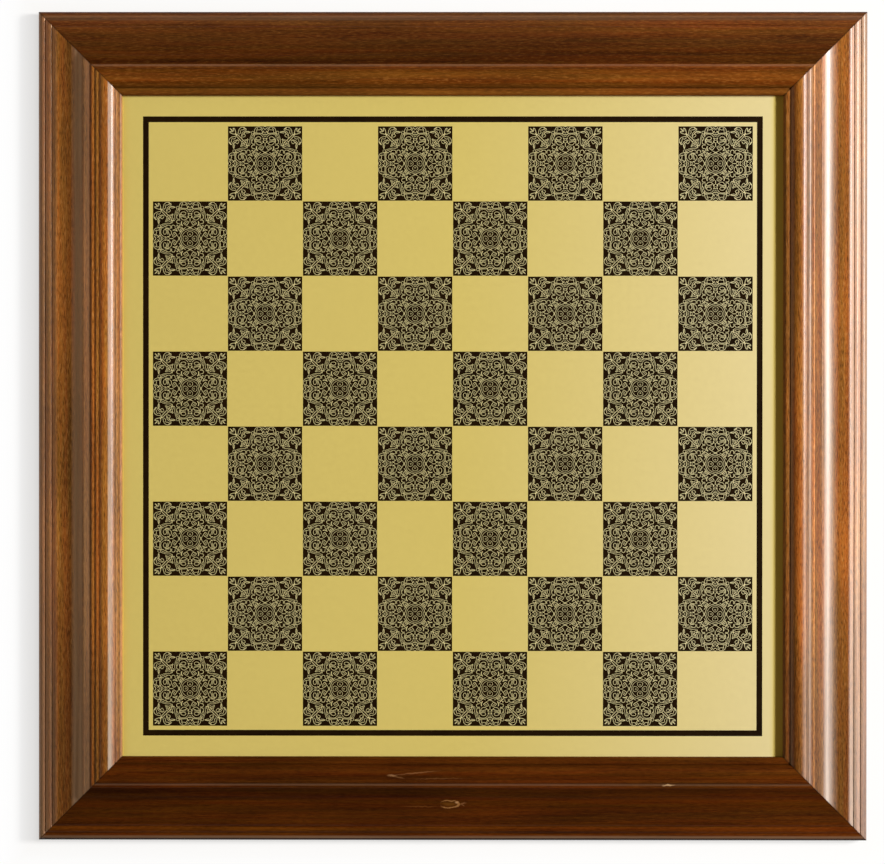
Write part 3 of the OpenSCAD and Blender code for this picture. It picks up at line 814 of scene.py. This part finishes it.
def enamelMaterial():
    material, tree, shader = newMaterial("blackEnamel")
    place = addNode(tree, "TexCoord", (-1300, 0)).outputs["Object"]
    clouds = addStretched(tree, (-1000, 250), place, enamel["clouds"], (2, 7, 0), 3, 0.6)
    specks = addStretched(tree, (-1000, 0), place, enamel["specks"], (6, 1, 0), 2, 0.5)
    colour = addRamp(tree, (-500, 250), addMix(tree, (-700, 250), "MIX", 0.35, clouds, specks),
                     [(0.35, enamel["deep"]), (0.65, enamel["pale"])])
    tree.links.new(colour, shader.inputs["Base Color"])
    rough = addRamp(tree, (-500, 0), specks, [(0.3, enamel["rough"][0]), (0.7, enamel["rough"][1])])
    tree.links.new(rough, shader.inputs["Roughness"])
    strength, depth = enamel["bump"]
    bump = addNode(tree, "Bump", (-250, -200), {"Height": specks, "Strength": strength, "Distance": depth})
    tree.links.new(bump.outputs[0], shader.inputs["Normal"])
    shader.inputs["Specular IOR Level"].default_value = enamel["shine"]
    return material


# backing: glue film, fibreboard core, hardboard panel, zinc fixings

backing = {
    "glueFilm": {"deep": (0.58, 0.54, 0.42), "pale": (0.70, 0.66, 0.53), "chips": (300, 300, 300),
                 "rough": 0.45, "metallic": 0.0, "bump": (0.4, 0.0001)},
    "fibreboard": {"deep": (0.36, 0.23, 0.11), "pale": (0.52, 0.36, 0.19), "chips": (900, 900, 2600),
                   "rough": 0.85, "metallic": 0.0, "bump": (0.4, 0.0001)},
    "hardboard": {"deep": (0.12, 0.055, 0.022), "pale": (0.20, 0.10, 0.045), "chips": (500, 1400, 900),
                  "rough": 0.55, "metallic": 0.0, "bump": (0.4, 0.0001)},
    "zincSteel": {"deep": (0.48, 0.48, 0.49), "pale": (0.64, 0.64, 0.66), "chips": (700, 700, 700),
                  "rough": 0.38, "metallic": 1.0, "bump": (0.4, 0.00003)},
}


def backingMaterial(name):
    own = backing[name]
    material, tree, shader = newMaterial(name)
    place = addNode(tree, "TexCoord", (-1300, 0)).outputs["Object"]
    clouds = addStretched(tree, (-1000, 250), place, (30, 30, 30), (3, 1, 0), 3, 0.6)
    chips = addStretched(tree, (-1000, 0), place, own["chips"], (8, 2, 1), 3, 0.65, 0.8)
    colour = addRamp(tree, (-500, 250), addMix(tree, (-700, 250), "MIX", 0.65, clouds, chips),
                     [(0.33, own["deep"]), (0.67, own["pale"])])
    tree.links.new(colour, shader.inputs["Base Color"])
    worn = addRamp(tree, (-500, 0), chips, [(0.3, own["rough"] - 0.1), (0.7, own["rough"] + 0.1)])
    tree.links.new(worn, shader.inputs["Roughness"])
    strength, depth = own["bump"]
    bump = addNode(tree, "Bump", (-250, -200), {"Height": chips, "Strength": strength, "Distance": depth})
    tree.links.new(bump.outputs[0], shader.inputs["Normal"])
    shader.inputs["Metallic"].default_value = own["metallic"]
    return material


plateBrass = brassMaterial("satinBrass", brass["plate"])
laceBrass = brassMaterial("scrollBrass", brass["scroll"])
scrollRows = buildScrollwork(laceBrass)
print("scrollwork built:", sum(len(row.data.polygons) for row in scrollRows), "faces")

blackEnamel = enamelMaterial()
dress(nodes["playing_plate"], plateBrass)
dress(nodes["dark_squares"], blackEnamel)
dress(nodes["border_line"], blackEnamel)
dress(nodes["adhesive_film"], backingMaterial("glueFilm"))
dress(nodes["core_board"], backingMaterial("fibreboard"))
dress(nodes["back_panel"], backingMaterial("hardboard"))
zincSteel = backingMaterial("zincSteel")
dress(nodes["panel_screws"], zincSteel)
dress(nodes["mitre_nails"], zincSteel)


# felt feet

felt = {
    # in mm: the pressed edge and the ring inside it, and how far the two are pressed in
    "edge": 0.6, "ring": 1.6, "press": 0.42, "crown": 0.06, "softening": 0.25, "sides": 56,
    "deep": (0.006, 0.022, 0.009), "pale": (0.020, 0.062, 0.028),
    "hair": (900, 2600, 1500), "lumps": (260, 260, 260), "bump": (0.9, 0.0003), "rough": 0.95, "sheen": 0.4,
}


def feltMaterial():
    material, tree, shader = newMaterial("greenFelt")
    place = addNode(tree, "TexCoord", (-1300, 0)).outputs["Object"]
    hair = addStretched(tree, (-1000, 250), place, felt["hair"], (1, 3, 2), 4, 0.7, 2.5)
    lumps = addStretched(tree, (-1000, 0), place, felt["lumps"], (5, 3, 2), 3, 0.6)
    tone = addMix(tree, (-700, 150), "MIX", 0.4, hair, lumps)
    colour = addRamp(tree, (-500, 250), tone, [(0.32, felt["deep"]), (0.68, felt["pale"])])
    tree.links.new(colour, shader.inputs["Base Color"])
    strength, depth = felt["bump"]
    bump = addNode(tree, "Bump", (-250, -100), {"Height": tone, "Strength": strength, "Distance": depth})
    tree.links.new(bump.outputs[0], shader.inputs["Normal"])
    shader.inputs["Roughness"].default_value = felt["rough"]
    shader.inputs["Sheen Weight"].default_value = felt["sheen"]
    shader.inputs["Sheen Roughness"].default_value = 0.5
    return material


def buildFoot(node, material):
    low, high = (Vector(corner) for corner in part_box(node))
    middle = (low + high) / 2
    reach = (high.x - low.x) / 2
    half = (high.z - low.z) / 2
    clearSelection()
    bpy.ops.mesh.primitive_cylinder_add(vertices=felt["sides"], radius=reach, depth=high.z - low.z,
                                        end_fill_type="NGON", location=middle)
    foot = bpy.context.object
    bpy.ops.object.transform_apply(location=True)
    bpy.ops.object.mode_set(mode="EDIT")
    bpy.ops.mesh.select_mode(type="FACE")
    bpy.ops.mesh.select_all(action="DESELECT")
    shape = bmesh.from_edit_mesh(foot.data)
    for face in shape.faces:
        face.select = abs(face.normal.z) > 0.9
    bmesh.update_edit_mesh(foot.data)
    bpy.ops.mesh.inset(thickness=felt["edge"] * mm, depth=0)
    bpy.ops.mesh.inset(thickness=felt["ring"] * mm, depth=0)
    bpy.ops.object.mode_set(mode="OBJECT")
    for vertex in foot.data.vertices:  # the cut edge is pressed in, and the faces crown a little
        away = (vertex.co.xy - middle.xy).length
        side = 1 if vertex.co.z > middle.z else -1
        if away > reach - 0.1 * mm:
            vertex.co.z = middle.z + side * (half - felt["press"] * mm)
        elif away > reach - (felt["edge"] + 0.1) * mm:
            vertex.co.z = middle.z + side * (half - felt["crown"] * mm)
    applyModifier(foot, "BEVEL", width=felt["softening"] * mm, segments=2, limit_method="ANGLE",
                  angle_limit=radians(20))
    pick(foot)
    bpy.ops.object.shade_smooth_by_angle(angle=radians(50))
    foot.name = foot.data.name = "felt_" + node
    dress(foot, material)
    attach(foot, "root")
    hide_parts(node)


greenFelt = feltMaterial()
for node in ("foot_front_left", "foot_front_right", "foot_back_right", "foot_back_left"):
    buildFoot(node, greenFelt)
print("feet built")


# floor, light and camera

studio = {
    "floorSize": 8.0, "floorShade": 0.90,
    # painted shadow: the backdrop's glow is painted dimmer near the frame and brightens away from it, a
    # painted soft shadow round the frame: share of the fade, lift
    "fade": 22.0,
    "paintedShadowLift": [(0.0, 0.63), (0.05, 0.64), (0.15, 0.71), (0.24, 0.74), (0.34, 0.777), (0.44, 0.82),
             (0.54, 0.875), (0.73, 0.932), (0.91, 0.975)],
    "keyPlace": (3.92, 0.62, 2.18), "keySize": (1.15, 0.6), "keyPower": 384.0,
    "keyColour": (1.0, 0.98, 0.95),
    # the room from left to right: white panels stand at both sides, and it is dark in front and behind
    "around": [(0.0, (0.60, 0.47, 0.33)), (0.16, (0.60, 0.47, 0.33)), (0.32, (0.045, 0.032, 0.016)),
               (0.72, (0.045, 0.032, 0.016)), (0.90, (0.25, 0.20, 0.13))],
    "zenith": (0.085, 0.06, 0.022), "upward": [(0.0, 0.0), (0.5, 0.0), (0.85, 1.0)],
    # the lens, how high it hangs over the plate in metres, and its place and aim in mm
    "lens": 122.11, "sensor": 36, "farthest": 20, "distance": 1.6,
    "aim": (-5.38, -3.04), "camera": (2.1, 5.63), "roll": 0.03,
}


def buildFloor():
    clearSelection()
    bpy.ops.mesh.primitive_plane_add(size=studio["floorSize"], location=(0, 0, 0))
    floor = bpy.context.object
    floor.name = floor.data.name = "floor"
    bpy.ops.object.mode_set(mode="EDIT")
    bpy.ops.mesh.select_all(action="SELECT")
    bpy.ops.mesh.subdivide(number_cuts=3)
    bpy.ops.object.mode_set(mode="OBJECT")
    material = bpy.data.materials.new("whiteFloor")
    material.use_nodes = True
    tree = material.node_tree
    tree.nodes.clear()
    out = addNode(tree, "OutputMaterial", (600, 0))
    plain = addNode(tree, "BsdfDiffuse", (0, 100), {"Color": (studio["floorShade"],) * 3 + (1,)})
    glow = addNode(tree, "Emission", (0, -100), {"Color": (1, 1, 1, 1), "Strength": 1.0})
    path = addNode(tree, "LightPath", (-500, 0))
    seen = addMath(tree, (-300, 0), "MAXIMUM", path.outputs["Is Camera Ray"], path.outputs["Is Glossy Ray"])
    seen = addMath(tree, (-150, 0), "MAXIMUM", seen, path.outputs["Is Transmission Ray"])
    # painted shadow: the glow is dimmer near the frame
    place = addNode(tree, "TexCoord", (-1300, 300)).outputs["Object"]
    far = addNode(tree, "VectorMath", (-1100, 300), {0: place}, operation="ABSOLUTE").outputs["Vector"]
    split = addNode(tree, "SeparateXYZ", (-950, 300), {0: far})
    far = addMath(tree, (-800, 300), "MAXIMUM", split.outputs["X"], split.outputs["Y"])
    far = addNode(tree, "MapRange", (-650, 300), {"Value": far, "From Min": outerHalf,
                                                 "From Max": outerHalf + studio["fade"] * mm}).outputs[0]
    amount = addMath(tree, (0, 0), "MULTIPLY", seen, addRamp(tree, (-450, 300), far, studio["paintedShadowLift"]))
    both = addNode(tree, "MixShader", (300, 0), {0: amount, 1: plain.outputs[0], 2: glow.outputs[0]})
    tree.links.new(both.outputs[0], out.inputs["Surface"])
    dress(floor, material)


def buildLight():
    lamp = bpy.data.lights.new("key", "AREA")
    lamp.shape = "RECTANGLE"
    lamp.size, lamp.size_y = studio["keySize"]
    lamp.energy = studio["keyPower"]
    lamp.color = studio["keyColour"]
    key = bpy.data.objects.new("key", lamp)
    key.location = studio["keyPlace"]
    key.rotation_euler = (-Vector(studio["keyPlace"])).to_track_quat("-Z", "Y").to_euler()
    bpy.context.collection.objects.link(key)

    world = bpy.data.worlds.new("studio")
    bpy.context.scene.world = world
    world.use_nodes = True
    tree = world.node_tree
    tree.nodes.clear()
    out = addNode(tree, "OutputWorld", (600, 0))
    place = addNode(tree, "TexCoord", (-600, 0))
    split = addNode(tree, "SeparateXYZ", (-400, 0), {0: place.outputs["Generated"]})
    across = addMath(tree, (-350, -150), "MULTIPLY", split.outputs["X"], 0.5)
    across = addMath(tree, (-280, -150), "ADD", across, 0.5)
    around = addRamp(tree, (-200, -150), across, studio["around"])
    upward = addRamp(tree, (-200, 100), split.outputs["Z"], studio["upward"])
    shade = addMix(tree, (0, 0), "MIX", upward, around, studio["zenith"])
    sky = addNode(tree, "Background", (100, 100), {"Color": shade, "Strength": 1.0})
    white = addNode(tree, "Background", (100, -100), {"Color": (1, 1, 1, 1), "Strength": 1.0})
    path = addNode(tree, "LightPath", (100, 300))
    both = addNode(tree, "MixShader", (350, 0), {0: path.outputs["Is Camera Ray"], 1: sky.outputs[0],
                                                 2: white.outputs[0]})
    tree.links.new(both.outputs[0], out.inputs["Surface"])


def buildCamera():
    lens = bpy.data.cameras.new("camera")
    lens.lens = studio["lens"]
    lens.sensor_width = studio["sensor"]
    lens.clip_end = studio["farthest"]
    camera = bpy.data.objects.new("camera", lens)
    bpy.context.collection.objects.link(camera)
    aim = Vector((studio["aim"][0] * mm, studio["aim"][1] * mm, plateTop))
    camera.location = (studio["camera"][0] * mm, studio["camera"][1] * mm, plateTop + studio["distance"])
    back = (camera.location - aim).normalized()
    right = Vector((cos(radians(studio["roll"])), sin(radians(studio["roll"])), 0))
    up = back.cross(right).normalized()
    right = up.cross(back)
    camera.rotation_euler = Matrix((right, up, back)).transposed().to_euler()
    bpy.context.scene.camera = camera


buildFloor()
buildLight()
buildCamera()
bpy.context.scene.view_settings.view_transform = "Standard"
print("studio ready")
